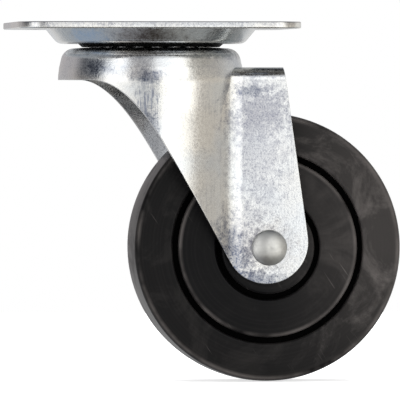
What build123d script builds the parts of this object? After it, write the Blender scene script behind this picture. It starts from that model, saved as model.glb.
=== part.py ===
from build123d import *
import os
from math import cos, radians, sin, sqrt, tan

# Swivel plate castor with a double ball-race head and a 100 mm rubber wheel.
# Millimetres. The origin is the middle of the plate's top face, on the swivel axis.
# +Z is up, the wheel trails towards +X and turns about an axle along Y.

# ---- driving dimensions ----
sheet = 2.5                 # thickness of every pressed steel part

plate_length = 105.0
plate_width = 85.0
plate_corner_r = 10.5
bolt_spacing_x = 80.0
bolt_spacing_y = 60.0
bolt_hole_r = 4.5

wheel_r = 50.0
wheel_width = 32.0
trail = 42.2                # swivel axis to axle, along X
axle_z = -83.7

dish_top_r = 39.3           # where the dish wall leaves the plate's underside
dish_drop = 5.5             # plate's underside down to the dish floor's underside
dish_wall_slope = 1.2       # drop per unit of radius

ball_r = 3.0
race_r = 3.05               # groove radius round a ball
ball_row_drop = 1.1         # dish floor's underside to the upper balls' centres
ball_row_spacing = 6.15     # upper balls' centres to the lower balls' centres
upper_pitch_r = 20.0
upper_ball_count = 20
lower_pitch_r = 13.0
lower_ball_count = 13

crown_top_drop = 0.35       # upper balls' centres to the top of the crown
crown_shoulder_r = 32.6     # outside of the crown where top and skirt meet
skirt_bottom_r = 34.7       # outside of the skirt at its lower edge
skirt_bottom_z = -21.5
leg_bulge_r = 33.2          # outside of the legs where they follow the crown
roof_z = -16.8              # top of the strip that joins the legs on the trailing side
roof_bend_r = 4.5
leg_half_gap = 17.5         # inside faces of the legs
leg_bend_r = 12.5           # outside bend between bulge and flat leg
fork_end_r = 15.5
fork_end_x = 41.2           # centre of the rounded end, a little off the axle
fork_end_z = -81.6
leading_edge_angle = 59.7   # below level
trailing_edge_angle = 8.0   # off vertical

axle_r = 4.0
axle_head_r = 6.65
axle_head_height = 3.2
spacer_r = 6.0              # outside of the tube that the rollers run on
hub_washer_thickness = 1.0
end_play = 0.3              # hub to each hub washer
roller_r = 1.7
roller_count = 10
running_gap = 0.05          # rollers to their races
sleeve_wall = 1.0
hub_r = 17.3
tyre_bore_r = 35.7

# ---- derived sizes ----
plate_under_z = -sheet
dish_under_z = plate_under_z - dish_drop
ball_z = dish_under_z - ball_row_drop           # centres of the upper balls
race_roof_z = ball_z + race_r                   # underside of the dish over the balls
crown_top_z = ball_z - crown_top_drop
groove_under_z = ball_z - race_r - sheet        # underside of the crown below the upper groove
lower_ball_z = ball_z - ball_row_spacing        # centres of the lower balls
flange_under_z = lower_ball_z + race_r          # underside of the crown over the lower balls
flange_top_z = flange_under_z + sheet
leg_outer_y = leg_half_gap + sheet
roller_pitch_r = spacer_r + running_gap + roller_r
sleeve_bore_r = roller_pitch_r + roller_r + running_gap
sleeve_r = sleeve_bore_r + sleeve_wall
hub_half = leg_half_gap - hub_washer_thickness - end_play

axle_line = Axis((trail, 0, axle_z), (0, 1, 0))
# a half-section through the axle: first along the axle, then away from it
axle_section = Plane(origin=(trail, 0, axle_z), x_dir=(0, 1, 0), z_dir=(1, 0, 0))
# square to the axle, through the middle of the wheel, its normal along +Y
across_axle = Plane(origin=(trail, 0, axle_z), x_dir=(1, 0, 0), z_dir=(0, 1, 0))


def on_circle(centre, radius, angle):
    """Point on a circle, the angle in degrees."""
    return (centre[0] + radius * cos(radians(angle)), centre[1] + radius * sin(radians(angle)))


def corner(section, point):
    """The section's vertex nearest to a point."""
    return section.vertices().sort_by_distance((*point, 0))[0]


def finish(part_builder, name):
    """Label a finished piece and write it."""
    part_builder.part.label = name
    export_step(part_builder.part, f"parts/{name}.step")


os.makedirs("parts", exist_ok=True)

# ---- top plate: flat pressing with the bearing dish drawn down from its middle ----
wall_run = dish_drop / dish_wall_slope
wall_shift = sheet * sqrt(1 + dish_wall_slope**2) / dish_wall_slope
dish_floor_r = dish_top_r - wall_run
upper_top_r = dish_top_r - wall_shift + sheet / dish_wall_slope
upper_floor_r = upper_top_r - wall_run
upper_race_centre = (upper_pitch_r, ball_z)
race_step_r = upper_pitch_r + sqrt(race_r**2 - (ball_z - dish_under_z)**2)
dish_blank_r = dish_top_r + 3.0     # the dish's revolved section joins the flat plate here
dish_bend_r = 1.5
bead_top_run = 1.2          # race's outer edge to the top of the bead above it
bead_foot_run = 3.4         # race's outer edge to the foot of that bead
bead_bend_r = 1.0
king_hole_r = 5.0
plate_edge_r = 0.5

with BuildPart() as top_plate:
    with BuildSketch(Plane.XY.offset(plate_under_z)):
        RectangleRounded(plate_length, plate_width, plate_corner_r)
    extrude(amount=sheet)
    fillet(top_plate.edges(), plate_edge_r)
    with Locations((0, 0, 0)):
        with GridLocations(bolt_spacing_x, bolt_spacing_y, 2, 2):
            Hole(bolt_hole_r)
        Hole(dish_blank_r)
    with BuildSketch(Plane.XZ) as dish_section:
        race_start = (upper_pitch_r, race_roof_z)
        race_end = (race_step_r, dish_under_z)
        bead_top = (race_step_r + bead_top_run, race_roof_z + sheet)
        bead_foot = (race_step_r + bead_foot_run, dish_under_z + sheet)
        lower_bend = (dish_floor_r, dish_under_z)
        upper_bend = (upper_floor_r, dish_under_z + sheet)
        with BuildLine():
            Polyline((king_hole_r, race_roof_z), race_start)
            RadiusArc(race_start, race_end, race_r)
            Polyline(
                race_end,
                lower_bend,
                (dish_top_r, plate_under_z),
                (dish_blank_r, plate_under_z),
                (dish_blank_r, 0),
                (upper_top_r, 0),
                upper_bend,
                bead_foot,
                bead_top,
                (king_hole_r, race_roof_z + sheet),
                (king_hole_r, race_roof_z),
            )
        make_face()
        fillet(corner(dish_section, lower_bend), dish_bend_r + sheet)
        fillet(corner(dish_section, upper_bend), dish_bend_r)
        fillet(corner(dish_section, (upper_top_r, 0)), sheet)
        fillet(corner(dish_section, bead_foot), bead_bend_r)
        fillet(corner(dish_section, bead_top), bead_bend_r)
    revolve(axis=Axis.Z)
finish(top_plate, "top_plate")

# ---- balls ----
with BuildPart() as upper_balls:
    with Locations((0, 0, ball_z)):
        with PolarLocations(upper_pitch_r, upper_ball_count):
            Sphere(ball_r)
finish(upper_balls, "upper_balls")

with BuildPart() as lower_balls:
    with Locations((0, 0, lower_ball_z)):
        with PolarLocations(lower_pitch_r, lower_ball_count):
            Sphere(ball_r)
finish(lower_balls, "lower_balls")

# ---- dust seal: ring under the dish floor, its lip just off the crown ----
seal_gap = 0.2
seal_inner_r = race_step_r + 0.8    # clear of the balls' groove
seal_top_r = 27.1
seal_lip_r = 25.6

with BuildPart() as dust_seal:
    with BuildSketch(Plane.XZ):
        Polygon(
            (seal_inner_r, dish_under_z),
            (seal_top_r, dish_under_z),
            (seal_lip_r, crown_top_z + seal_gap),
            (seal_inner_r, crown_top_z + seal_gap),
            align=None,
        )
    revolve(axis=Axis.Z)
finish(dust_seal, "dust_seal")

# ---- lower race cup: pressed cup that carries the lower balls ----
lower_race_centre = (lower_pitch_r, lower_ball_z)
groove_slope_angle = 225    # where each groove's inner side runs out into a straight slope
cup_seat_z = lower_ball_z - 0.55    # the cup's middle is clamped here, above its groove
cup_slope_start = on_circle(lower_race_centre, race_r, groove_slope_angle)
cup_slope_end = (cup_slope_start[0] - (cup_seat_z - cup_slope_start[1]), cup_seat_z)
cup_lip = on_circle(lower_race_centre, race_r, 0)
cup_outer_r = lower_pitch_r + race_r + sheet
cup_under_z = lower_ball_z - race_r - sheet
cup_step_run = 1.0          # extra metal where the cup steps down on its underside
cup_heel_r = 4.55

with BuildPart() as lower_race_cup:
    with BuildSketch(Plane.XZ) as cup_section:
        cup_heel = (cup_outer_r, cup_under_z)
        with BuildLine():
            RadiusArc(cup_lip, cup_slope_start, race_r)
            Polyline(
                cup_slope_start,
                cup_slope_end,
                (king_hole_r, cup_seat_z),
                (king_hole_r, cup_seat_z - sheet),
                (cup_slope_end[0] - cup_step_run, cup_seat_z - sheet),
                (cup_slope_start[0], cup_under_z),
                cup_heel,
                (cup_outer_r, lower_ball_z),
                cup_lip,
            )
        make_face()
        fillet(corner(cup_section, cup_heel), cup_heel_r)
    revolve(axis=Axis.Z)
finish(lower_race_cup, "lower_race_cup")

# ---- king pin: shouldered rivet through plate and cup ----
collar_r = 7.0
king_head_r = 9.0
king_head_top_z = -0.7
king_head_edge_r = 1.8
king_foot_r = 7.8           # the end riveted over under the cup
king_foot_height = 2.4
king_foot_edge_r = 1.6
king_foot_z = cup_seat_z - sheet - king_foot_height

with BuildPart() as king_pin:
    with BuildSketch(Plane.XZ) as king_section:
        head_rim = (king_head_r, king_head_top_z)
        foot_rim = (king_foot_r, king_foot_z)
        Polygon(
            (0, king_head_top_z),
            head_rim,
            (king_head_r, race_roof_z + sheet),
            (king_hole_r, race_roof_z + sheet),
            (king_hole_r, race_roof_z),
            (collar_r, race_roof_z),
            (collar_r, cup_seat_z),
            (king_hole_r, cup_seat_z),
            (king_hole_r, cup_seat_z - sheet),
            (king_foot_r, cup_seat_z - sheet),
            foot_rim,
            (0, king_foot_z),
            align=None,
        )
        fillet(corner(king_section, head_rim), king_head_edge_r)
        fillet(corner(king_section, foot_rim), king_foot_edge_r)
    revolve(axis=Axis.Z)
finish(king_pin, "king_pin")

# ---- fork: crown dome, skirt, roof strip and two legs in one pressing ----
outline_margin = 10.0
leg_floor_z = fork_end_z - fork_end_r - 1.0     # the legs are cut to shape above this
skirt_blend_z = skirt_bottom_z - 10.0           # the skirt's flare has run out into the legs
skirt_end_z = skirt_blend_z - 6.0
crown_flat_r = 25.0
crown_fall = 0.5
crown_bend_r = 5.0
knee_r = 8.0                # where the shoulder's steep wall turns into the skirt
skirt_knee_r = 34.2
skirt_knee_z = -17.0
flare_blend_r = 15.0        # the flare's widest place
flare_end_r = 60.0          # where the flare runs out into the leg
race_opening_r = crown_flat_r - 0.5
flange_hole_r = 9.0
blank_reach = 62.0


def crown_points(inset):
    """Half-section of the crown's dome and skirt, moved inwards by the sheet."""
    return [
        (0, crown_top_z - inset),
        (crown_flat_r, crown_top_z - inset),
        (crown_shoulder_r - inset, crown_top_z - crown_fall - inset),
        (skirt_knee_r - inset, skirt_knee_z),
        (skirt_bottom_r - inset, skirt_bottom_z),
        (leg_bulge_r - inset, skirt_blend_z),
        (leg_bulge_r - inset, skirt_end_z),
        (0, skirt_end_z),
    ]


def pressing_form(inset):
    """The solid form of the pressing's outside, or of its inside when inset by the sheet."""
    with BuildPart() as form:
        bulge = leg_bulge_r - inset
        half_width = leg_outer_y - inset
        meeting_x = sqrt(bulge**2 - half_width**2)
        with BuildSketch(Plane.XY.offset(roof_z - inset)) as footprint:
            Circle(bulge)
            with Locations((blank_reach / 2, 0)):
                Rectangle(blank_reach, 2 * half_width)
            meetings = [corner(footprint, (meeting_x, side * half_width)) for side in (-1, 1)]
            fillet(meetings, leg_bend_r + inset)
        extrude(amount=leg_floor_z - roof_z + inset)
        fillet(form.faces().sort_by(Axis.Z)[-1].edges(), roof_bend_r - inset)
        with BuildSketch(Plane.XZ) as crown_section:
            points = crown_points(inset)
            Polygon(*points, align=None)
            fillet(corner(crown_section, points[2]), crown_bend_r - inset)
            fillet(corner(crown_section, points[3]), knee_r - inset)
            fillet(corner(crown_section, points[4]), flare_blend_r - inset)
            fillet(corner(crown_section, points[5]), flare_end_r + inset)
        revolve(axis=Axis.Z)
    return form.part


pressing_outside = pressing_form(0)
pressing_inside = pressing_form(sheet)

edge_cos = cos(radians(leading_edge_angle))
edge_sin = sin(radians(leading_edge_angle))
leading_tangent = (fork_end_x - fork_end_r * edge_sin, fork_end_z - fork_end_r * edge_cos)
rise = skirt_bottom_z - leading_tangent[1]
skirt_turn = (leading_tangent[0] - rise * edge_cos / edge_sin, skirt_bottom_z)
trailing_tangent = on_circle((fork_end_x, fork_end_z), fork_end_r, trailing_edge_angle)
trailing_top = (trailing_tangent[0] + trailing_tangent[1] * tan(radians(trailing_edge_angle)), 0)
skirt_reach = -(skirt_bottom_r + outline_margin)
edge_curve_ahead = 12.5     # skirt's lower edge starts to bend this far ahead of the corner
edge_curve_along = 30.0     # and has become the straight leading edge this far along it
lower_race_end_angle = 14
groove_flat_in_r = upper_pitch_r - 2.45     # flat underside of the groove
groove_flat_out_r = upper_pitch_r + 1.6

with BuildPart() as fork:
    add(pressing_outside)
    add(pressing_inside, mode=Mode.SUBTRACT)
    # the crown's middle is replaced by the wave that forms both ball races
    with Locations((0, 0, 0)):
        Cylinder(race_opening_r, -2 * groove_under_z, mode=Mode.SUBTRACT)
    with BuildSketch(Plane.XZ) as race_section:
        groove_out = (upper_pitch_r + sqrt(race_r**2 - (ball_z - crown_top_z)**2), crown_top_z)
        groove_in = on_circle(upper_race_centre, race_r, groove_slope_angle)
        inner_slope = (groove_in[0] - (flange_top_z - groove_in[1]), flange_top_z)
        lower_race_end = on_circle(lower_race_centre, race_r, lower_race_end_angle)
        with BuildLine():
            RadiusArc(groove_out, groove_in, race_r)
            Polyline(
                groove_in,
                inner_slope,
                (flange_hole_r, flange_top_z),
                (flange_hole_r, flange_under_z),
                (lower_pitch_r, flange_under_z),
            )
            RadiusArc((lower_pitch_r, flange_under_z), lower_race_end, race_r)
            Polyline(
                lower_race_end,
                (groove_flat_in_r, groove_under_z),
                (groove_flat_out_r, groove_under_z),
                (crown_flat_r, crown_top_z - sheet),
                (crown_flat_r, crown_top_z),
                groove_out,
            )
        make_face()
    revolve(axis=Axis.Z)
    # side outline of the pressing
    with BuildSketch(Plane.XZ):
        with BuildLine():
            curve_start = (skirt_turn[0] - edge_curve_ahead, skirt_bottom_z)
            edge_run = edge_curve_along * edge_cos
            edge_drop = edge_curve_along * edge_sin
            curve_end = (skirt_turn[0] + edge_run, skirt_bottom_z - edge_drop)
            Bezier(curve_start, skirt_turn, curve_end)
            Line(curve_end, leading_tangent)
            ThreePointArc(leading_tangent, (fork_end_x, fork_end_z - fork_end_r), trailing_tangent)
            Polyline(
                trailing_tangent,
                trailing_top,
                (skirt_reach, 0),
                (skirt_reach, skirt_bottom_z),
                curve_start,
            )
        make_face()
    extrude(amount=skirt_reach, both=True, mode=Mode.INTERSECT)
    with BuildSketch(across_axle):
        Circle(axle_r)
    extrude(amount=plate_width, both=True, mode=Mode.SUBTRACT)
finish(fork, "fork")

# ---- wheel core: black moulding with a solid web, hub and keyed rim ----
hub_groove_out_r = 19.4
web_half = wheel_width / 2 - 0.6    # the web's faces lie just inside the tyre's
web_out_r = 33.5
groove_floor_half = wheel_width / 2 - 5.0    # both grooves are 5 deep from the tyre's face
key_half = 3.0
key_r = tyre_bore_r + 2.0
web_edge_r = 1.2
hub_edge_r = 0.8

with BuildPart() as wheel_core:
    with BuildSketch(axle_section) as core_section:
        hub_rims = [(side * hub_half, hub_r) for side in (-1, 1)]
        web_rims = [(side * web_half, web_out_r) for side in (-1, 1)]
        web_roots = [(side * web_half, hub_groove_out_r) for side in (-1, 1)]
        Polygon(
            (-hub_half, sleeve_r),
            hub_rims[0],
            (-groove_floor_half, hub_r),
            (-groove_floor_half, hub_groove_out_r),
            web_roots[0],
            web_rims[0],
            (-groove_floor_half, web_out_r),
            (-groove_floor_half, tyre_bore_r),
            (-key_half, tyre_bore_r),
            (-key_half, key_r),
            (key_half, key_r),
            (key_half, tyre_bore_r),
            (groove_floor_half, tyre_bore_r),
            (groove_floor_half, web_out_r),
            web_rims[1],
            web_roots[1],
            (groove_floor_half, hub_groove_out_r),
            (groove_floor_half, hub_r),
            hub_rims[1],
            (hub_half, sleeve_r),
            align=None,
        )
        fillet([corner(core_section, point) for point in web_rims], web_edge_r)
        fillet([corner(core_section, point) for point in hub_rims + web_roots], hub_edge_r)
    revolve(axis=axle_line)
finish(wheel_core, "wheel_core")

# ---- tyre: rubber ring keyed over the core's rim ----
tread_fall = 0.5            # crown of the tread, middle to shoulder
shoulder_r = 2.4
bore_edge_r = 0.8

with BuildPart() as tyre:
    with BuildSketch(axle_section) as tyre_section:
        half = wheel_width / 2
        shoulders = [(side * half, wheel_r - tread_fall) for side in (-1, 1)]
        bore_rims = [(side * half, tyre_bore_r) for side in (-1, 1)]
        with BuildLine():
            ThreePointArc(shoulders[0], (0, wheel_r), shoulders[1])
            Polyline(
                shoulders[1],
                bore_rims[1],
                (key_half, tyre_bore_r),
                (key_half, key_r),
                (-key_half, key_r),
                (-key_half, tyre_bore_r),
                bore_rims[0],
                shoulders[0],
            )
        make_face()
        fillet([corner(tyre_section, point) for point in shoulders], shoulder_r)
        fillet([corner(tyre_section, point) for point in bore_rims], bore_edge_r)
    revolve(axis=axle_line)
finish(tyre, "tyre")

# ---- wheel bearing: sleeve in the hub, caged rollers, tube on the axle ----
sleeve_half = 15.0
cage_half = 14.5
roller_half = 12.0
cage_gap = 0.25             # cage to tube and to sleeve
pocket_gap = 0.1            # roller to its pocket

with BuildPart() as bearing_sleeve:
    with BuildSketch(across_axle):
        Circle(sleeve_r)
        Circle(sleeve_bore_r, mode=Mode.SUBTRACT)
    extrude(amount=sleeve_half, both=True)
finish(bearing_sleeve, "bearing_sleeve")

with BuildPart() as roller_cage:
    with BuildSketch(across_axle):
        Circle(sleeve_bore_r - cage_gap)
        Circle(spacer_r + cage_gap, mode=Mode.SUBTRACT)
    extrude(amount=cage_half, both=True)
    with BuildSketch(across_axle):
        with PolarLocations(roller_pitch_r, roller_count):
            Circle(roller_r + pocket_gap)
    extrude(amount=roller_half + pocket_gap, both=True, mode=Mode.SUBTRACT)
finish(roller_cage, "roller_cage")

with BuildPart() as rollers:
    with BuildSketch(across_axle):
        with PolarLocations(roller_pitch_r, roller_count):
            Circle(roller_r)
    extrude(amount=roller_half, both=True)
finish(rollers, "rollers")

with BuildPart() as spacer_tube:
    with BuildSketch(across_axle):
        Circle(spacer_r)
        Circle(axle_r, mode=Mode.SUBTRACT)
    extrude(amount=leg_half_gap, both=True)
finish(spacer_tube, "spacer_tube")

hub_washer_r = 10.2

for name, side in (("near_hub_washer", -1), ("far_hub_washer", 1)):
    with BuildPart() as hub_washer:
        with BuildSketch(across_axle.offset(side * (leg_half_gap - hub_washer_thickness))):
            Circle(hub_washer_r)
            Circle(spacer_r, mode=Mode.SUBTRACT)
        extrude(amount=side * hub_washer_thickness)
    finish(hub_washer, name)

# ---- axle bolt: low domed head on the near leg, lock nut and washer on the far leg ----
washer_r = 8.0
washer_thickness = 1.6
nut_width = 13.0            # across flats
nut_hex_height = 6.2
nut_height = 8.0
nut_collar_r = 6.0
nut_lip_r = 4.8
nut_lip = 0.5               # rim turned in over the locking ring
nut_collar_bend_r = 0.8
nut_seat_chamfer = 0.6
nut_top_chamfer = 0.9
nut_top_inset = 0.3
ring_r = 5.4
ring_height = 2.1
bolt_overhang = 1.6         # past the nut
bolt_chamfer = 0.8
head_land = 0.9             # straight rim of the head
head_bend_r = 1.6
dome_mid_height = 0.86 * axle_head_height    # the dome's height at dome_mid_r
dome_mid_r = 0.55 * axle_head_r
nut_face_y = leg_outer_y + washer_thickness
nut_end_y = nut_face_y + nut_height
bolt_end_y = nut_end_y + bolt_overhang
ring_top_y = nut_end_y - nut_lip
ring_seat_y = ring_top_y - ring_height

with BuildPart() as axle_bolt:
    with BuildSketch(axle_section) as bolt_section:
        head_rim = (-leg_outer_y - head_land, axle_head_r)
        with BuildLine():
            head_top = (-leg_outer_y - axle_head_height, 0)
            dome_mid = (-leg_outer_y - dome_mid_height, dome_mid_r)
            ThreePointArc(head_top, dome_mid, head_rim)
            Polyline(
                head_rim,
                (-leg_outer_y, axle_head_r),
                (-leg_outer_y, axle_r),
                (bolt_end_y - bolt_chamfer, axle_r),
                (bolt_end_y, axle_r - bolt_chamfer),
                (bolt_end_y, 0),
                head_top,
            )
        make_face()
        fillet(corner(bolt_section, head_rim), head_bend_r)
    revolve(axis=axle_line)
finish(axle_bolt, "axle_bolt")

with BuildPart() as axle_washer:
    with BuildSketch(across_axle.offset(leg_outer_y)):
        Circle(washer_r)
        Circle(axle_r, mode=Mode.SUBTRACT)
    extrude(amount=washer_thickness)
finish(axle_washer, "axle_washer")

with BuildPart() as axle_nut:
    with BuildSketch(across_axle.offset(nut_face_y)):
        RegularPolygon(nut_width / 2, 6, major_radius=False)
    extrude(amount=nut_hex_height)
    with BuildSketch(axle_section):
        # rounded corners of the hexagon's two faces
        corner_r = nut_width / 2 / cos(radians(30))
        Polygon(
            (nut_face_y, 0),
            (nut_face_y, nut_width / 2),
            (nut_face_y + nut_seat_chamfer, corner_r),
            (nut_face_y + nut_hex_height - nut_top_chamfer, corner_r),
            (nut_face_y + nut_hex_height, nut_width / 2 - nut_top_inset),
            (nut_face_y + nut_hex_height, 0),
            align=None,
        )
    revolve(axis=axle_line, mode=Mode.INTERSECT)
    with BuildSketch(across_axle.offset(nut_face_y + nut_hex_height)):
        Circle(nut_collar_r)
    extrude(amount=nut_height - nut_hex_height)
    fillet(axle_nut.faces().sort_by(Axis.Y)[-1].edges(), nut_collar_bend_r)
    with BuildSketch(axle_section):
        Polygon(
            (nut_face_y, 0),
            (nut_face_y, axle_r),
            (ring_seat_y, axle_r),
            (ring_seat_y, ring_r),
            (ring_top_y, ring_r),
            (ring_top_y, nut_lip_r),
            (nut_end_y, nut_lip_r),
            (nut_end_y, 0),
            align=None,
        )
    revolve(axis=axle_line, mode=Mode.SUBTRACT)
finish(axle_nut, "axle_nut")

with BuildPart() as nut_locking_ring:
    with BuildSketch(across_axle.offset(ring_seat_y)):
        Circle(ring_r)
        Circle(axle_r, mode=Mode.SUBTRACT)
    extrude(amount=ring_height)
finish(nut_locking_ring, "nut_locking_ring")
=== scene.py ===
import bpy
from math import cos, pi, radians, sin
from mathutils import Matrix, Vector


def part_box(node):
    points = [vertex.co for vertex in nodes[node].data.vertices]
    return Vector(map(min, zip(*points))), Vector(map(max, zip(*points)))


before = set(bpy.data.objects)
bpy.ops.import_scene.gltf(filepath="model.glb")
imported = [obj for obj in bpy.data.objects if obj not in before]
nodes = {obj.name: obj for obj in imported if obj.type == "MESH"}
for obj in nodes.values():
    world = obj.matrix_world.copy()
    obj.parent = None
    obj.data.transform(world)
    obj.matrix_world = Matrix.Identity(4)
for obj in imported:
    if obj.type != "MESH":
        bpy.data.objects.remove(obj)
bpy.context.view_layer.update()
scene = bpy.context.scene

# ---- places taken from the frame ----
TYRE_LOW, TYRE_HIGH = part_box("tyre")
AXLE = (TYRE_LOW + TYRE_HIGH) / 2
FLOOR_Z = TYRE_LOW.z
# the wheel's side behind the fork: thicker dust, and a painted sheen
DUSTY_SHEEN_AT = AXLE + Vector((0.034, 0, 0.018))

# ---- camera ----
VIEW_AZIMUTH = radians(-6.15)
VIEW_ELEVATION = radians(0.89)
VIEW_DISTANCE = 2.65
LENS = 639.0
SENSOR = 36.0
AIM = Vector((0.01848, 0, -0.06626))


def add_camera():
    """A long lens at the view's own angle."""
    data = bpy.data.cameras.new("camera")
    data.lens = LENS
    data.sensor_width = SENSOR
    data.clip_start = 0.1
    data.clip_end = 20.0
    camera = bpy.data.objects.new("camera", data)
    scene.collection.objects.link(camera)
    back = Vector((
        sin(VIEW_AZIMUTH) * cos(VIEW_ELEVATION),
        -cos(VIEW_AZIMUTH) * cos(VIEW_ELEVATION),
        sin(VIEW_ELEVATION),
    ))
    camera.location = AIM + back * VIEW_DISTANCE
    camera.rotation_mode = "QUATERNION"
    camera.rotation_quaternion = (-back).to_track_quat("-Z", "Y")
    scene.camera = camera


# ---- node-tree helpers ----
class Tree:
    """A short way to add and join nodes."""

    def __init__(self, tree):
        self.tree = tree

    def add(self, kind, **settings):
        """Add a node. Settings are node properties, or its inputs by name with _ for a space."""
        node = self.tree.nodes.new(kind)
        for key, value in settings.items():
            if hasattr(node, key):
                setattr(node, key, value)
            else:
                self.feed(node.inputs[key.replace("_", " ")], value)
        return node

    def feed(self, socket, value):
        """Link another node's output to a socket, or set the socket's own value."""
        if isinstance(value, bpy.types.NodeSocket):
            self.tree.links.new(value, socket)
        else:
            socket.default_value = value

    def math(self, operation, first, second=0.0, third=0.0, clamp=False):
        """One sum on up to three values."""
        node = self.tree.nodes.new("ShaderNodeMath")
        node.operation = operation
        node.use_clamp = clamp
        for socket, value in zip(node.inputs, (first, second, third)):
            self.feed(socket, value)
        return node.outputs[0]

    def blend(self, factor, low, high):
        """Mix two colours."""
        node = self.tree.nodes.new("ShaderNodeMix")
        node.data_type = "RGBA"
        self.feed(node.inputs[0], factor)
        self.feed(node.inputs[6], low)
        self.feed(node.inputs[7], high)
        return node.outputs[2]

    def span(self, value, low, high, to_low=0.0, to_high=1.0):
        """Map a value from one range to another, held at both ends."""
        node = self.tree.nodes.new("ShaderNodeMapRange")
        for socket, number in zip(node.inputs, (value, low, high, to_low, to_high)):
            self.feed(socket, number)
        return node.outputs[0]

    def noise(self, vector, scale, detail=4.0, roughness=0.55, distortion=0.0):
        """Smooth noise from 0 to 1, mostly near 0.5."""
        node = self.tree.nodes.new("ShaderNodeTexNoise")
        self.feed(node.inputs["Vector"], vector)
        self.feed(node.inputs["Scale"], scale)
        self.feed(node.inputs["Detail"], detail)
        self.feed(node.inputs["Roughness"], roughness)
        self.feed(node.inputs["Distortion"], distortion)
        return node.outputs[0]

    def stretched(self, vector, scale):
        """Scale a place by its own amount along each axis."""
        node = self.tree.nodes.new("ShaderNodeMapping")
        self.feed(node.inputs["Vector"], vector)
        self.feed(node.inputs["Scale"], scale)
        return node.outputs[0]


def grey(value):
    return (value, value, value, 1.0)


def new_group(name, inputs, outputs):
    """A shader node group whose inputs and outputs are floats or vectors."""
    group = bpy.data.node_groups.new(name, "ShaderNodeTree")
    kinds = {"float": "NodeSocketFloat", "vector": "NodeSocketVector"}
    for label, kind, default in inputs:
        socket = group.interface.new_socket(label, in_out="INPUT", socket_type=kinds[kind])
        if default is not None:
            socket.default_value = default
    for label, kind in outputs:
        group.interface.new_socket(label, in_out="OUTPUT", socket_type=kinds[kind])
    tree = Tree(group)
    entry = group.nodes.new("NodeGroupInput")
    leave = group.nodes.new("NodeGroupOutput")
    return tree, entry.outputs, leave.inputs


def new_material(name):
    """A material with a Principled shader, and the place on the piece that its patterns read."""
    material = bpy.data.materials.new(name)
    material.use_nodes = True
    material.node_tree.nodes.clear()
    tree = Tree(material.node_tree)
    shader = tree.add("ShaderNodeBsdfPrincipled")
    output = tree.add("ShaderNodeOutputMaterial")
    tree.feed(output.inputs["Surface"], shader.outputs[0])
    place = tree.add("ShaderNodeTexCoord").outputs["Object"]
    return material, tree, shader, place


def use(tree, group, **values):
    """Place a group in a material with its own values."""
    node = tree.tree.nodes.new("ShaderNodeGroup")
    node.node_tree = group
    for key, value in values.items():
        tree.feed(node.inputs[key.replace("_", " ")], value)
    return node.outputs


# ---- shared surface effects ----
def make_plating_effect():
    """Zinc plating: fine crystal grain, dull blue patches, draw marks along the pressing."""
    tree, given, out = new_group(
        "zinc_plating",
        [
            ("Place", "vector", None),
            ("Grain Scale", "float", 1500.0),
            ("Patch Scale", "float", 60.0),
            ("Draw Marks", "float", 0.5),
        ],
        [("Grain", "float"), ("Patches", "float"), ("Marks", "float"), ("Tint", "float"),
         ("Waves", "float")],
    )
    place = given["Place"]
    fine = tree.noise(place, given["Grain Scale"], 2.0, 0.6)
    coarse = tree.noise(place, tree.math("MULTIPLY", given["Grain Scale"], 0.5), 2.0, 0.6)
    grain = tree.math("MULTIPLY_ADD", coarse, 0.5, tree.math("MULTIPLY", fine, 0.5))
    tree.feed(out["Grain"], tree.span(grain, 0.36, 0.64))
    cloud = tree.noise(place, given["Patch Scale"], 5.0, 0.6, 0.6)
    tree.feed(out["Patches"], tree.span(cloud, 0.5, 0.66))
    long_way = tree.stretched(place, (1500.0, 1500.0, 25.0))
    lines = tree.noise(long_way, 1.0, 2.0, 0.6)
    where = tree.noise(place, 45.0, 2.0, 0.5)
    marks = tree.math("MULTIPLY", tree.span(lines, 0.5, 0.68), tree.span(where, 0.45, 0.6))
    tree.feed(out["Marks"], tree.math("MULTIPLY", marks, given["Draw Marks"]))
    tree.feed(out["Tint"], tree.span(tree.noise(place, 26.0, 3.0, 0.5, 0.8), 0.4, 0.62))
    tree.feed(out["Waves"], tree.noise(place, 38.0, 1.0, 0.4))
    return tree.tree


def make_spot_effect():
    """A soft-edged patch round one place, its edge broken up by noise."""
    tree, given, out = new_group(
        "patch_at_a_place",
        [
            ("Place", "vector", None),
            ("Centre", "vector", None),
            ("Half Size", "vector", None),
            ("Raggedness", "float", 0.9),
        ],
        [("Mask", "float")],
    )
    apart = tree.add("ShaderNodeVectorMath", operation="SUBTRACT")
    tree.feed(apart.inputs[0], given["Place"])
    tree.feed(apart.inputs[1], given["Centre"])
    shares = tree.add("ShaderNodeVectorMath", operation="DIVIDE")
    tree.feed(shares.inputs[0], apart.outputs[0])
    tree.feed(shares.inputs[1], given["Half Size"])
    length = tree.add("ShaderNodeVectorMath", operation="LENGTH")
    tree.feed(length.inputs[0], shares.outputs[0])
    ragged = tree.noise(given["Place"], 420.0, 6.0, 0.72)
    ragged = tree.math("MULTIPLY", tree.math("SUBTRACT", ragged, 0.5), given["Raggedness"])
    reach = tree.math("MULTIPLY_ADD", ragged, 4.0, length.outputs["Value"])
    tree.feed(out["Mask"], tree.span(reach, 1.35, 0.5))
    return tree.tree


def make_edge_effect():
    """Rounded, slightly worn edges: a softened normal and a mask of where it turns."""
    tree, given, out = new_group(
        "worn_edges",
        [("Radius", "float", 0.0004)],
        [("Normal", "vector"), ("Mask", "float")],
    )
    bevel = tree.add("ShaderNodeBevel", samples=6)
    tree.feed(bevel.inputs["Radius"], given["Radius"])
    face = tree.add("ShaderNodeNewGeometry").outputs["Normal"]
    dot = tree.add("ShaderNodeVectorMath", operation="DOT_PRODUCT")
    tree.feed(dot.inputs[0], bevel.outputs[0])
    tree.feed(dot.inputs[1], face)
    tree.feed(out["Normal"], bevel.outputs[0])
    tree.feed(out["Mask"], tree.span(dot.outputs["Value"], 0.99, 0.85))
    return tree.tree


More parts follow.
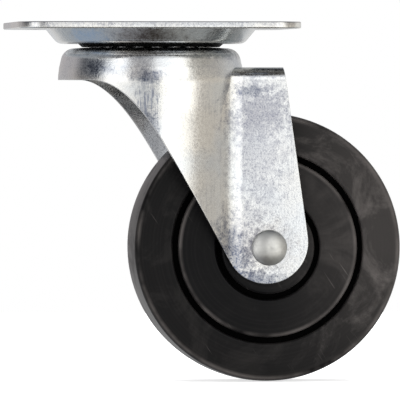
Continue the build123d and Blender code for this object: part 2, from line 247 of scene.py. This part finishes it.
def make_dust_effect():
    """Handling dust and scuffs on black rubber: smears, scratches, specks, rings round the axle."""
    tree, given, out = new_group(
        "dust_and_scuffs",
        [
            ("Place", "vector", None), ("Scale", "float", 1.0),
            ("Worn Radius", "float", 0.03), ("Worn Width", "float", 0.001),
        ],
        [
            ("Smears", "float"), ("Scratches", "float"), ("Specks", "float"), ("Rings", "float"),
            ("Worn", "float"),
        ],
    )
    place = given["Place"]
    smear = tree.noise(place, tree.math("MULTIPLY", given["Scale"], 38.0), 7.0, 0.68, 1.2)
    tree.feed(out["Smears"], tree.span(smear, 0.48, 0.72))
    turned = tree.add("ShaderNodeVectorRotate", rotation_type="Y_AXIS")
    tree.feed(turned.inputs["Vector"], place)
    turned.inputs["Angle"].default_value = 0.6
    thin_way = tree.stretched(turned.outputs[0], (1900.0, 300.0, 60.0))
    thin = tree.noise(thin_way, tree.math("MULTIPLY", given["Scale"], 0.7), 1.0, 0.5, 0.3)
    where = tree.noise(place, 60.0, 3.0, 0.5)
    scratches = tree.math("MULTIPLY", tree.span(thin, 0.68, 0.74), tree.span(where, 0.54, 0.62))
    tree.feed(out["Scratches"], scratches)
    cells = tree.add("ShaderNodeTexVoronoi", feature="F1")
    tree.feed(cells.inputs["Vector"], place)
    tree.feed(cells.inputs["Scale"], tree.math("MULTIPLY", given["Scale"], 420.0))
    tree.feed(out["Specks"], tree.span(cells.outputs["Distance"], 0.16, 0.08))
    apart = tree.add("ShaderNodeVectorMath", operation="SUBTRACT")
    tree.feed(apart.inputs[0], place)
    apart.inputs[1].default_value = AXLE
    flat = tree.add("ShaderNodeVectorMath", operation="MULTIPLY")
    tree.feed(flat.inputs[0], apart.outputs[0])
    flat.inputs[1].default_value = (1, 0, 1)
    length = tree.add("ShaderNodeVectorMath", operation="LENGTH")
    tree.feed(length.inputs[0], flat.outputs[0])
    rings = tree.add("ShaderNodeTexNoise", noise_dimensions="1D")
    rings.inputs["Scale"].default_value = 900.0
    rings.inputs["Detail"].default_value = 3.0
    tree.feed(rings.inputs["W"], length.outputs["Value"])
    tree.feed(out["Rings"], tree.span(rings.outputs[0], 0.45, 0.7))
    off = tree.math("ABSOLUTE", tree.math("SUBTRACT", length.outputs["Value"], given["Worn Radius"]))
    broken = tree.span(tree.noise(place, 55.0, 3.0, 0.6), 0.35, 0.6)
    near = tree.math("SUBTRACT", 1.0, tree.math("DIVIDE", off, given["Worn Width"]), clamp=True)
    tree.feed(out["Worn"], tree.math("MULTIPLY", near, broken))
    return tree.tree


plating = make_plating_effect()
patch = make_spot_effect()
worn_edges = make_edge_effect()
dust = make_dust_effect()

# heights and depths of surface detail, in metres
ZINC_GRAIN_HEIGHT = 0.000016
ZINC_WAVE_HEIGHT = 0.0007
DRAW_MARK_DEPTH = 0.000012
STEEL_GRAIN_HEIGHT = 0.00001
RUBBER_GRAIN_HEIGHT = 0.000012
SCRATCH_DEPTH = 0.00002
WORN_EDGE_WIDTH = 0.0011

# how much dust lies in each kind of mark on the black parts
RING_DUST = 0.02
SCRATCH_DUST = 0.5
# the worn ring is paler as wear and also as a painted highlight along that edge
WORN_DUST_AND_HIGHLIGHT = 0.7
EDGE_DUST = 0.4
DUST_COLOUR = (0.12, 0.108, 0.102, 1.0)

ZINC_LIGHT = (0.83, 0.815, 0.78, 1.0)
ZINC_COOL = (0.66, 0.72, 0.79, 1.0)
ZINC_DULL = (0.30, 0.32, 0.38, 1.0)


def zinc_material(name, patches=(), grain_scale=1500.0, marks=0.5, rough=(0.13, 0.28)):
    """Bright zinc. Each patch: its centre, half size, strength, draw marks and colour."""
    material, tree, shader, place = new_material(name)
    surface = use(tree, plating, Place=place, Grain_Scale=grain_scale, Draw_Marks=marks)
    edges = use(tree, worn_edges, Radius=0.0004)
    grain = surface["Grain"]
    colour = tree.blend(tree.math("MULTIPLY", surface["Tint"], 0.6), ZINC_LIGHT, ZINC_COOL)
    dark_grain = tree.span(grain, 0.55, 0.1)
    dull = tree.math("MULTIPLY_ADD", surface["Patches"], 0.3, 0.2)
    colour = tree.blend(tree.math("MULTIPLY", dark_grain, dull), colour, ZINC_DULL)
    streaks = surface["Marks"]
    # patches mostly paint in shade and reflections
    for centre, half_size, strength, drawn, patch_tone in patches:
        here = use(tree, patch, Place=place, Centre=centre, Half_Size=half_size)["Mask"]
        amount = tree.math("MULTIPLY", here, tree.span(dark_grain, 0.0, 1.0, 0.65 * strength, strength))
        colour = tree.blend(amount, colour, (*patch_tone, 1.0))
        if drawn:
            lines = use(tree, plating, Place=place, Draw_Marks=drawn)["Marks"]
            streaks = tree.math("MULTIPLY_ADD", lines, here, streaks)
    colour = tree.blend(tree.math("MULTIPLY", streaks, 0.8, clamp=True), colour, ZINC_DULL)
    colour = tree.blend(tree.math("MULTIPLY", edges["Mask"], 0.3), colour, ZINC_LIGHT)
    tree.feed(shader.inputs["Base Color"], colour)
    shader.inputs["Metallic"].default_value = 1.0
    tree.feed(shader.inputs["Roughness"], tree.span(grain, 0.0, 1.0, *rough))
    bump = tree.add("ShaderNodeBump", Strength=0.7, Distance=1.0)
    height = tree.math("MULTIPLY", grain, ZINC_GRAIN_HEIGHT)
    height = tree.math("MULTIPLY_ADD", surface["Waves"], ZINC_WAVE_HEIGHT, height)
    height = tree.math("MULTIPLY_ADD", streaks, -DRAW_MARK_DEPTH, height)
    tree.feed(bump.inputs["Height"], height)
    tree.feed(bump.inputs["Normal"], edges["Normal"])
    tree.feed(shader.inputs["Normal"], bump.outputs[0])
    return material


def steel_material(name, colour, rough):
    """Turned or headed steel, with fine grain and a few dull spots."""
    material, tree, shader, place = new_material(name)
    edges = use(tree, worn_edges, Radius=0.0003)
    surface = use(tree, plating, Place=place, Grain_Scale=1300.0, Draw_Marks=0.0)
    darker = tuple(0.55 * c for c in colour[:3]) + (1.0,)
    tone = tree.blend(tree.math("MULTIPLY", surface["Patches"], 0.6), colour, darker)
    tree.feed(shader.inputs["Base Color"], tone)
    shader.inputs["Metallic"].default_value = 1.0
    tree.feed(shader.inputs["Roughness"], tree.span(surface["Grain"], 0.0, 1.0, rough, rough + 0.12))
    bump = tree.add("ShaderNodeBump", Strength=0.5, Distance=1.0)
    tree.feed(bump.inputs["Height"], tree.math("MULTIPLY", surface["Grain"], STEEL_GRAIN_HEIGHT))
    tree.feed(bump.inputs["Normal"], edges["Normal"])
    tree.feed(shader.inputs["Normal"], bump.outputs[0])
    return material


def black_material(name, base, rough, smears, pale, worn_at, groove_from=0.0):
    """Black rubber or moulding with dust, scuffs, and an edge worn worn_at metres from the axle.

    The trailing side is paler: dust and a painted sheen. The worn edge is paler as wear
    and as a painted highlight. Anything nearer the wheel's middle plane than
    groove_from is matt, and painted near black as shade in the groove.
    """
    material, tree, shader, place = new_material(name)
    marks = use(tree, dust, Place=place, Scale=1.0, Worn_Radius=worn_at,
                Worn_Width=WORN_EDGE_WIDTH)
    edges = use(tree, worn_edges, Radius=0.0005)
    # painted sheen with dust: dust smears thicker on the side behind the fork
    dusty_sheen = use(tree, patch, Place=place, Centre=DUSTY_SHEEN_AT, Half_Size=(0.03, 0.1, 0.045))["Mask"]
    thick = tree.math("MULTIPLY", marks["Smears"], tree.span(dusty_sheen, 0.0, 1.0, 0.2, 1.0))
    split = tree.add("ShaderNodeSeparateXYZ")
    tree.feed(split.inputs[0], place)
    # paler trailing side, most at and above the axle: dust and a painted sheen
    trailing = tree.span(split.outputs["X"], AXLE.x - 0.002, AXLE.x + 0.038)
    lifted = tree.span(split.outputs["Z"], AXLE.z - 0.04, AXLE.z, 0.3, 1.0)
    trailing = tree.math("MULTIPLY", trailing, lifted)
    sheen_veil = tree.math("MULTIPLY", trailing, tree.span(marks["Smears"], 0.0, 1.0, 0.6 * pale, pale))
    tone = tree.blend(sheen_veil, base, DUST_COLOUR)
    layers = [
        (thick, smears), (marks["Rings"], RING_DUST), (marks["Scratches"], SCRATCH_DUST),
        (marks["Worn"], WORN_DUST_AND_HIGHLIGHT), (edges["Mask"], EDGE_DUST),
    ]
    for mask, amount in layers:
        tone = tree.blend(tree.math("MULTIPLY", mask, amount), tone, DUST_COLOUR)
    roughness = tree.span(marks["Smears"], 0.0, 1.0, rough, rough + 0.2)
    if groove_from:
        aside = tree.math("ABSOLUTE", split.outputs["Y"])
        # painted shade: near black deep in the groove
        groove_shade = tree.span(aside, groove_from, groove_from - 0.002)
        tone = tree.blend(groove_shade, tone, grey(0.001))
        roughness = tree.math("MAXIMUM", roughness, groove_shade)
    tree.feed(shader.inputs["Base Color"], tone)
    tree.feed(shader.inputs["Roughness"], roughness)
    shader.inputs["Specular IOR Level"].default_value = 0.1
    grain = tree.noise(place, 2600.0, 3.0, 0.6)
    bump = tree.add("ShaderNodeBump", Strength=0.5, Distance=1.0)
    height = tree.math("MULTIPLY", grain, RUBBER_GRAIN_HEIGHT)
    height = tree.math("MULTIPLY_ADD", marks["Scratches"], -SCRATCH_DEPTH, height)
    tree.feed(bump.inputs["Height"], height)
    tree.feed(bump.inputs["Normal"], edges["Normal"])
    tree.feed(shader.inputs["Normal"], bump.outputs[0])
    return material


def seal_material():
    """Black rubber shiny with grease, with light metal specks caught in it, painted in as glints."""
    material, tree, shader, place = new_material("greasy_black_seal")
    marks = use(tree, dust, Place=place, Scale=2.2)
    specks = tree.math("MULTIPLY", marks["Specks"], 0.5)
    tree.feed(shader.inputs["Base Color"], tree.blend(specks, grey(0.006), (0.35, 0.35, 0.3, 1)))
    tree.feed(shader.inputs["Roughness"], tree.span(marks["Smears"], 0, 1, 0.45, 0.7))
    return material


def nylon_material():
    """Uncoloured nylon, slightly cloudy."""
    material, tree, shader, place = new_material("natural_nylon")
    cloud = tree.noise(place, 300.0, 4.0)
    tone = tree.blend(cloud, (0.62, 0.6, 0.52, 1), (0.72, 0.7, 0.63, 1))
    tree.feed(shader.inputs["Base Color"], tone)
    tree.feed(shader.inputs["Roughness"], tree.span(cloud, 0.3, 0.7, 0.4, 0.55))
    return material


# colours painted on the zinc, mostly as shade, reflections and sheen
BLUE_SHADE_AND_REFLECTION = (0.10, 0.12, 0.18)
GREY_SHADE_AND_DULL = (0.24, 0.25, 0.29)
LEG_REFLECTION_GREY = (0.24, 0.25, 0.31)
SHADE_UNDER_PLATE = (0.08, 0.08, 0.085)
BROWN_SHADE = (0.16, 0.13, 0.115)
BLUE_SHEEN = (0.55, 0.68, 0.85)
GREEN_SHEEN = (0.42, 0.50, 0.50)
# Places darkened or tinted, mostly painted shade and painted reflections, in metres: centre, half size,
# strength, draw marks, colour.
FORK_PATCHES = [
    # painted dark reflection on the near bulge, with draw marks: head, lines below it, foot, and a
    # faint end ahead
    ((-0.0038, -0.033, -0.0200), (0.0055, 0.02, 0.0024), 0.9, 0.0, BLUE_SHADE_AND_REFLECTION),
    ((-0.0050, -0.033, -0.030), (0.0038, 0.02, 0.011), 0.4, 2.4, BLUE_SHADE_AND_REFLECTION),
    ((-0.0035, -0.033, -0.040), (0.0030, 0.02, 0.006), 0.7, 0.0, BLUE_SHADE_AND_REFLECTION),
    ((-0.015, -0.033, -0.0185), (0.0045, 0.02, 0.0018), 0.25, 0.0, BLUE_SHADE_AND_REFLECTION),
    # painted dark reflection on the skirt
    ((-0.0225, -0.026, -0.0165), (0.0040, 0.02, 0.0028), 0.85, 0.0, BLUE_SHADE_AND_REFLECTION),
    # painted dark reflection with grain over the flat of the near leg, and painted shade under the roof
    # bend
    ((0.038, -0.02, -0.0335), (0.012, 0.01, 0.0085), 0.72, 0.0, LEG_REFLECTION_GREY),
    ((0.038, -0.02, -0.044), (0.011, 0.01, 0.024), 0.6, 0.0, LEG_REFLECTION_GREY),
    ((0.0345, -0.02, -0.0255), (0.0055, 0.01, 0.0018), 0.6, 0.0, BLUE_SHADE_AND_REFLECTION),
    ((0.042, -0.02, -0.0195), (0.014, 0.01, 0.0010), 0.45, 0.0, BLUE_SHADE_AND_REFLECTION),
    # painted dark reflection, with grain, round the fork's end
    ((0.031, -0.02, -0.078), (0.008, 0.01, 0.012), 0.5, 0.0, LEG_REFLECTION_GREY),
    ((0.0265, -0.02, -0.089), (0.011, 0.01, 0.013), 0.95, 0.0, BLUE_SHADE_AND_REFLECTION),
    ((0.040, -0.02, -0.0970), (0.014, 0.01, 0.0048), 0.85, 0.0, BLUE_SHADE_AND_REFLECTION),
    # darker grey on the trailing side of the crown
    ((0.026, -0.025, -0.0115), (0.011, 0.02, 0.0025), 0.6, 0.0, GREY_SHADE_AND_DULL),
    # painted shade on the crown's top by the race, under the plate, all the way round
    ((0.0, 0.0, -0.0088), (0.1, 0.1, 0.0024), 0.8, 0.0, SHADE_UNDER_PLATE),
    # brown shade on the far leg
    ((0.002, 0.03, -0.050), (0.03, 0.02, 0.035), 0.45, 0.0, BROWN_SHADE),
    # faint drawn lines where the bulge meets the near leg
    ((0.022, -0.024, -0.058), (0.004, 0.02, 0.03), 0.12, 0.8, GREY_SHADE_AND_DULL),
    # painted shade round the axle's head
    ((AXLE.x, -0.0205, AXLE.z), (0.0085, 0.003, 0.0085), 0.4, 0.0, BROWN_SHADE),
]
PLATE_PATCHES = [
    # brown, blue and green sheen along the near side of the dish
    ((-0.004, -0.035, -0.0065), (0.013, 0.01, 0.004), 0.7, 0.0, BROWN_SHADE),
    ((-0.026, -0.026, -0.0055), (0.007, 0.01, 0.003), 0.8, 0.0, BLUE_SHEEN),
    ((0.026, -0.026, -0.0055), (0.009, 0.01, 0.003), 0.5, 0.0, GREEN_SHEEN),
    # painted shade on the upper part of the plate's near edge
    ((0.0, -0.0425, -0.0003), (0.08, 0.005, 0.0013), 0.45, 0.0, GREY_SHADE_AND_DULL),
]

plate_zinc = zinc_material("zinc_plate", PLATE_PATCHES, grain_scale=1300.0, marks=0.4)
fork_zinc = zinc_material("zinc_fork", FORK_PATCHES, marks=0.3)
small_zinc = zinc_material("zinc_small_parts", grain_scale=2200.0, marks=0.0, rough=(0.22, 0.34))
head_steel = steel_material("headed_steel", colour=(0.66, 0.66, 0.64, 1.0), rough=0.4)
ground_steel = steel_material("ground_steel", colour=(0.62, 0.62, 0.63, 1.0), rough=0.12)
rubber = black_material(
    "black_rubber", base=(0.0040, 0.0038, 0.0040, 1.0), rough=0.3, smears=0.7, pale=0.42,
    worn_at=0.0485,
)
core = black_material(
    "black_core", base=(0.0022, 0.0022, 0.0026, 1.0), rough=0.28, smears=0.15, pale=0.38,
    worn_at=0.0328, groove_from=0.0145,
)
seal = seal_material()
nylon = nylon_material()

finish_of = {
    "top_plate": plate_zinc, "fork": fork_zinc, "lower_race_cup": plate_zinc,
    "axle_washer": small_zinc, "axle_nut": small_zinc,
    "near_hub_washer": small_zinc, "far_hub_washer": small_zinc,
    "king_pin": head_steel, "axle_bolt": head_steel, "spacer_tube": head_steel,
    "upper_balls": ground_steel, "lower_balls": ground_steel,
    "rollers": ground_steel, "bearing_sleeve": ground_steel,
    "tyre": rubber, "wheel_core": core, "dust_seal": seal,
    "roller_cage": nylon, "nut_locking_ring": nylon,
}
for name, material in finish_of.items():
    nodes[name].data.materials.clear()
    nodes[name].data.materials.append(material)


# ---- studio ----
# Light round the castor in rings. Each stop: degrees from straight in front, then colour.
# level with the castor
LEVEL_STOPS = [
    (-180, (0.55, 0.53, 0.53)), (-118, (0.50, 0.48, 0.48)), (-104, (0.26, 0.25, 0.25)),
    (-76, (0.20, 0.20, 0.21)), (-64, (1.3, 1.3, 1.3)), (-36, (1.6, 1.6, 1.6)),
    (-29, (0.45, 0.46, 0.48)), (-10, (0.50, 0.51, 0.53)), (1, (0.85, 0.86, 0.88)),
    (6, (1.0, 1.0, 1.0)), (14, (1.9, 1.88, 1.82)), (28, (1.5, 1.5, 1.46)),
    (46, (1.05, 1.04, 1.0)),
    (56, (0.60, 0.565, 0.51)), (88, (0.64, 0.60, 0.54)), (110, (0.9, 0.9, 0.87)),
    (180, (0.60, 0.60, 0.60)),
]
# a little above level
RAISED_STOPS = [
    (-180, (0.52, 0.49, 0.50)), (-120, (0.48, 0.46, 0.47)), (-106, (0.14, 0.14, 0.15)),
    (-74, (0.10, 0.11, 0.13)), (-63, (1.5, 1.5, 1.5)), (-40, (1.8, 1.8, 1.8)),
    (-31, (0.50, 0.48, 0.48)), (-8, (0.46, 0.45, 0.46)), (3, (1.5, 1.5, 1.5)),
    (40, (1.9, 1.88, 1.8)), (50, (0.50, 0.48, 0.44)), (88, (0.44, 0.43, 0.42)),
    (110, (0.6, 0.6, 0.6)), (180, (0.52, 0.5, 0.5)),
]
# light off the table in front and round the castor
TABLE_STOPS = [
    (-180, (0.80, 0.80, 0.80)), (-95, (0.55, 0.55, 0.56)), (-60, (1.5, 1.5, 1.48)),
    (-20, (0.95, 0.95, 0.93)), (2, (0.95, 0.95, 0.93)), (14, (1.8, 1.78, 1.7)),
    (48, (1.8, 1.78, 1.7)), (60, (0.58, 0.55, 0.51)),
    (100, (0.60, 0.60, 0.58)), (180, (0.80, 0.80, 0.80)),
]
# light from below
LOW_STOPS = [
    (-180, (0.42, 0.44, 0.46)), (-110, (0.36, 0.40, 0.45)), (-60, (0.30, 0.30, 0.32)),
    (-25, (0.07, 0.06, 0.055)), (15, (0.09, 0.08, 0.07)), (60, (0.26, 0.26, 0.25)),
    (110, (0.36, 0.38, 0.38)), (180, (0.42, 0.44, 0.46)),
]
# overhead
HIGH_LIGHT = (0.12, 0.135, 0.16, 1.0)
# heights of a direction, as its sine, between which each ring fades into the one above
LOW_TO_TABLE = (-0.50, -0.32)
TABLE_TO_LEVEL = (-0.14, -0.05)
LEVEL_TO_RAISED = (0.04, 0.14)
RAISED_TO_HIGH = (0.34, 0.9)


def fill_ramp(ramp, stops):
    """Put one ring's stops on a colour ramp that runs once round the castor."""
    points = ramp.elements
    points.remove(points[1])
    points[0].position = 0.0
    points[0].color = (*stops[0][1], 1.0)
    for angle, colour in stops[1:]:
        point = points.new((angle + 180) / 360)
        point.color = (*colour, 1.0)


def add_world():
    """Rings of light seen only in reflections and as fill. The camera sees plain white."""
    world = bpy.data.worlds.new("studio")
    world.use_nodes = True
    world.node_tree.nodes.clear()
    tree = Tree(world.node_tree)
    split = tree.add("ShaderNodeSeparateXYZ")
    tree.feed(split.inputs[0], tree.add("ShaderNodeTexCoord").outputs["Generated"])
    turn = tree.math("ARCTAN2", split.outputs["X"], tree.math("MULTIPLY", split.outputs["Y"], -1.0))
    share = tree.span(turn, -pi, pi)
    rings = []
    for stops in (LOW_STOPS, TABLE_STOPS, LEVEL_STOPS, RAISED_STOPS):
        ramp = tree.add("ShaderNodeValToRGB")
        fill_ramp(ramp.color_ramp, stops)
        tree.feed(ramp.inputs[0], share)
        rings.append(ramp.outputs[0])
    fades = (LOW_TO_TABLE, TABLE_TO_LEVEL, LEVEL_TO_RAISED, RAISED_TO_HIGH)
    colour = rings[0]
    for fade, above in zip(fades, rings[1:] + [HIGH_LIGHT]):
        colour = tree.blend(tree.span(split.outputs["Z"], *fade), colour, above)
    background = tree.add("ShaderNodeBackground")
    tree.feed(background.inputs["Color"], colour)
    seen = tree.add("ShaderNodeBackground", Color=grey(1.0))
    path = tree.add("ShaderNodeLightPath")
    pick = tree.add("ShaderNodeMixShader")
    tree.feed(pick.inputs[0], path.outputs["Is Camera Ray"])
    tree.feed(pick.inputs[1], background.outputs[0])
    tree.feed(pick.inputs[2], seen.outputs[0])
    output = tree.add("ShaderNodeOutputWorld")
    tree.feed(output.inputs["Surface"], pick.outputs[0])
    scene.world = world


def add_top_box():
    """A wide soft light overhead, never seen itself."""
    place = Vector((0.0, 0.1, 1.2))
    towards = Vector((0, 0, -0.1))
    data = bpy.data.lights.new("top_box", "AREA")
    data.shape = "RECTANGLE"
    data.size = 1.6
    data.size_y = 1.6
    data.energy = 22.0
    light = bpy.data.objects.new("top_box", data)
    light.location = place
    light.rotation_mode = "QUATERNION"
    light.rotation_quaternion = (towards - place).to_track_quat("-Z", "Y")
    light.visible_camera = False
    light.visible_glossy = False
    scene.collection.objects.link(light)


def add_floor():
    """A plain pale floor under the wheel."""
    mesh = bpy.data.meshes.new("floor")
    reach = 0.8
    corners = [(-reach, -reach), (reach, -reach), (reach, reach), (-reach, reach)]
    mesh.from_pydata([(x, y, FLOOR_Z) for x, y in corners], [], [(0, 1, 2, 3)])
    floor = bpy.data.objects.new("floor", mesh)
    floor.visible_glossy = False
    scene.collection.objects.link(floor)
    material, tree, shader, place = new_material("pale_floor")
    cloud = tree.noise(place, 8.0, 3.0)
    tree.feed(shader.inputs["Base Color"], tree.blend(cloud, grey(0.92), grey(0.96)))
    shader.inputs["Roughness"].default_value = 0.9
    shader.inputs["Emission Color"].default_value = grey(1.0)
    shader.inputs["Emission Strength"].default_value = 0.7
    mesh.materials.append(material)


add_camera()
add_world()
add_floor()
add_top_box()
scene.view_settings.view_transform = "Standard"
